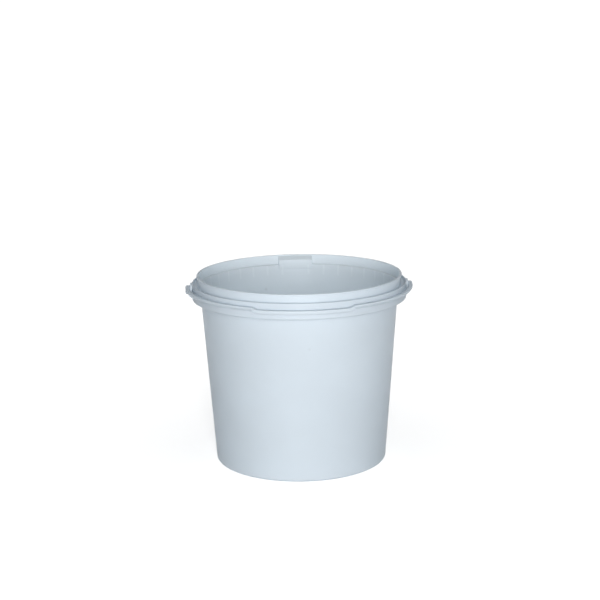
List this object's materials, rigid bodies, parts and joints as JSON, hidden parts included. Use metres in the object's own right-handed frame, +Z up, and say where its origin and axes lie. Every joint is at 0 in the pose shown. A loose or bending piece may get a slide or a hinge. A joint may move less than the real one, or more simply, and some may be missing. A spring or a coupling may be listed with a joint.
{
  "type": "plastic pail",
  "caption": "Round tapered white plastic pail with a skirted lid-seat rim and a plastic bail that snaps into side bosses and folds round the skirt.",
  "frame": {"origin": "centre of the base's underside, on the pail's axis", "axes": "+Z up out of the mouth, X along the bail's hinge line, -Y towards the grip of the folded bail, +Y towards the raised pad inside the mouth"},
  "size_m": [0.2398, 0.2318, 0.2005],
  "materials": {
    "white_plastic": "satin white polypropylene with a slight cool cast, thin enough to let some light through"
  },
  "bodies": {
    "pail": {"pail_body": "white_plastic"},
    "bail": {"bail_handle": "white_plastic"}
  },
  "joints": [
    {"name": "bail_pivot", "type": "hinge", "parent": "pail", "child": "bail", "pos_m": [0, 0, 0.185], "axis": [-1, 0, 0], "range_deg": [0, 180]}
  ]
}
